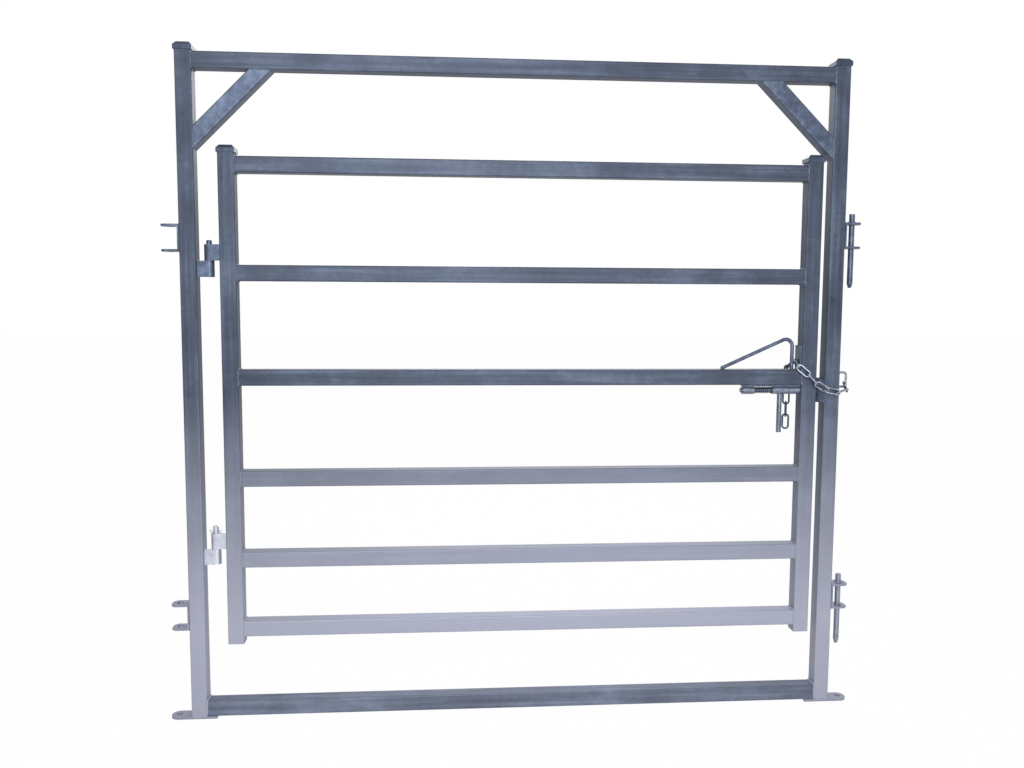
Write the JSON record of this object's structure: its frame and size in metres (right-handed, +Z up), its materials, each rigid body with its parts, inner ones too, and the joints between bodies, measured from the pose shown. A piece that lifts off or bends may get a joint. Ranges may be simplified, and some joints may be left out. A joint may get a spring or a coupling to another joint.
{
  "type": "stock gate",
  "caption": "Square-tube stock gate in a portal frame with pin hinges, a spring-loaded sliding bolt, a safety chain with guard bar, joining lugs, drop pins and anchor feet.",
  "frame": {"origin": "on the ground, midway between the two anchor holes in the foot plates", "axes": "+X from hinge to latch, +Y away from the side the gate opens to, +Z up"},
  "size_m": [2.236, 0.1131, 2.114],
  "materials": {
    "galvanised_tube": "hot-dip galvanised square tube, dull and mottled",
    "galvanised_fittings": "hot-dip galvanised plate and bar",
    "caps": "pressed galvanised caps",
    "bright_hinge": "bright fresh zinc",
    "chain": "zinc plated chain, darkened at the back",
    "spring_steel": "dark spring wire"
  },
  "bodies": {
    "frame": {"post_left": "galvanised_tube", "post_right": "galvanised_tube", "post_cap_left": "caps", "post_cap_right": "caps", "top_rail": "galvanised_tube", "bottom_rail": "galvanised_tube", "brace_left": "galvanised_tube", "brace_right": "galvanised_tube", "foot_plate_left": "galvanised_fittings", "foot_plate_right": "galvanised_fittings", "lug_upper_left": "galvanised_fittings", "lug_lower_left": "galvanised_fittings", "lug_upper_right": "galvanised_fittings", "lug_lower_right": "galvanised_fittings", "frame_eye_upper": "galvanised_fittings", "frame_eye_lower": "bright_hinge", "hinge_pin_upper": "galvanised_fittings", "hinge_pin_lower": "bright_hinge", "split_pin": "spring_steel", "bolt_keeper": "galvanised_fittings", "chain_staple": "galvanised_fittings"},
    "gate": {"gate_post_hinge": "galvanised_tube", "gate_post_latch": "galvanised_tube", "gate_cap_hinge": "caps", "gate_cap_latch": "caps", "gate_rail_1": "galvanised_tube", "gate_rail_2": "galvanised_tube", "gate_rail_3": "galvanised_tube", "gate_rail_4": "galvanised_tube", "gate_rail_5": "galvanised_tube", "gate_rail_6": "galvanised_tube", "gate_eye_upper": "galvanised_fittings", "gate_eye_lower": "bright_hinge", "bolt_plate": "galvanised_fittings", "bolt_guide_left": "galvanised_fittings", "bolt_guide_right": "galvanised_fittings", "chain_guard": "galvanised_fittings", "chain_slot_plate": "galvanised_fittings"},
    "bolt": {"bolt_rod": "galvanised_fittings", "bolt_sleeve": "galvanised_fittings", "bolt_handle": "galvanised_fittings", "bolt_spring": "spring_steel"},
    "upper_pin": {"drop_pin_upper": "galvanised_fittings"},
    "lower_pin": {"drop_pin_lower": "galvanised_fittings"},
    "link_01": {"chain_link_01": "chain"},
    "link_02": {"chain_link_02": "chain"},
    "link_03": {"chain_link_03": "chain"},
    "link_04": {"chain_link_04": "chain"},
    "link_05": {"chain_link_05": "chain"},
    "link_06": {"chain_link_06": "chain"},
    "link_07": {"chain_link_07": "chain"},
    "link_08": {"chain_link_08": "chain"},
    "link_09": {"chain_link_09": "chain"},
    "link_10": {"chain_link_10": "chain"},
    "link_11": {"chain_link_11": "chain", "chain_link_12": "chain", "chain_link_13": "chain"}
  },
  "joints": [
    {"name": "gate_swing", "type": "hinge", "parent": "frame", "child": "gate", "pos_m": [-0.965, 0, 1], "axis": [0, 0, -1], "range_deg": [0, 100]},
    {"name": "bolt_slide", "type": "slide", "parent": "gate", "child": "bolt", "axis": [-1, 0, 0], "range_m": [0, 0.03], "stiffness_N_per_m": 400, "springref_m": -0.02, "deforming": ["bolt_spring"]},
    {"name": "upper_pin_lift", "type": "slide", "parent": "frame", "child": "upper_pin", "axis": [0, 0, 1], "range_m": [0, 0.22]},
    {"name": "lower_pin_lift", "type": "slide", "parent": "frame", "child": "lower_pin", "axis": [0, 0, 1], "range_m": [0, 0.22]},
    {"name": "link_01_hang", "type": "hinge", "parent": "frame", "child": "link_01", "pos_m": [1.079, 0.006, 1.074], "axis": [0.7655, -0.4198, 0.4877], "range_deg": [0, 5.63]},
    {"name": "link_02_hang", "type": "hinge", "parent": "link_01", "child": "link_02", "pos_m": [1.07, -0.029, 1.058], "axis": [0.3713, -0.836, 0.4041], "range_deg": [0, 62.91]},
    {"name": "link_03_hang", "type": "hinge", "parent": "link_02", "child": "link_03", "pos_m": [1.036, -0.047, 1.052], "axis": [-0.0235, -0.9165, 0.3994], "range_deg": [0, 42.9]},
    {"name": "link_04_hang", "type": "hinge", "parent": "link_03", "child": "link_04", "pos_m": [0.999, -0.043, 1.059], "axis": [-0.1685, -0.9145, -0.3679], "range_deg": [0, 22.08]},
    {"name": "link_05_hang", "type": "hinge", "parent": "link_04", "child": "link_05", "pos_m": [0.964, -0.045, 1.08], "axis": [0.14, -0.9802, 0.14], "range_deg": [0, 14.31]},
    {"name": "link_06_hang", "type": "hinge", "parent": "link_05", "child": "link_06", "pos_m": [0.936, -0.045, 1.108], "axis": [0.704, 0.0939, 0.704], "range_deg": [0, 21.53]},
    {"name": "link_07_hang", "type": "hinge", "parent": "link_06", "child": "link_07", "pos_m": [0.908, -0.03, 1.134], "axis": [0.5758, -0.2656, 0.7733], "range_deg": [0, 49.2]},
    {"name": "link_08_hang", "type": "hinge", "parent": "link_07", "child": "link_08", "pos_m": [0.904, 0.005, 1.149], "axis": [0.9827, 0.1554, -0.1004], "range_deg": [0, 53.47]},
    {"name": "link_09_hang", "type": "hinge", "parent": "link_08", "child": "link_09", "pos_m": [0.897, 0.037, 1.13], "axis": [0.975, 0.2219, 0.0145], "range_deg": [0, 49.89]},
    {"name": "link_10_hang", "type": "hinge", "parent": "link_09", "child": "link_10", "pos_m": [0.896, 0.044, 1.09], "axis": [0.9949, 0.1002, -0.0073], "range_deg": [0, 14.18]},
    {"name": "link_11_hang", "type": "hinge", "parent": "link_10", "child": "link_11", "pos_m": [0.896, 0.041, 1.049], "axis": [-1, 0, 0], "range_deg": [0, 4.19]}
  ],
  "couplings": [
    {"joint": "link_01_hang", "follows": "gate_swing", "ratio": 0.056308},
    {"joint": "link_02_hang", "follows": "gate_swing", "ratio": 0.62906},
    {"joint": "link_03_hang", "follows": "gate_swing", "ratio": 0.42894},
    {"joint": "link_04_hang", "follows": "gate_swing", "ratio": 0.22081},
    {"joint": "link_05_hang", "follows": "gate_swing", "ratio": 0.14308},
    {"joint": "link_06_hang", "follows": "gate_swing", "ratio": 0.21533},
    {"joint": "link_07_hang", "follows": "gate_swing", "ratio": 0.49199},
    {"joint": "link_08_hang", "follows": "gate_swing", "ratio": 0.53472},
    {"joint": "link_09_hang", "follows": "gate_swing", "ratio": 0.4989},
    {"joint": "link_10_hang", "follows": "gate_swing", "ratio": 0.1418},
    {"joint": "link_11_hang", "follows": "gate_swing", "ratio": 0.041849}
  ]
}
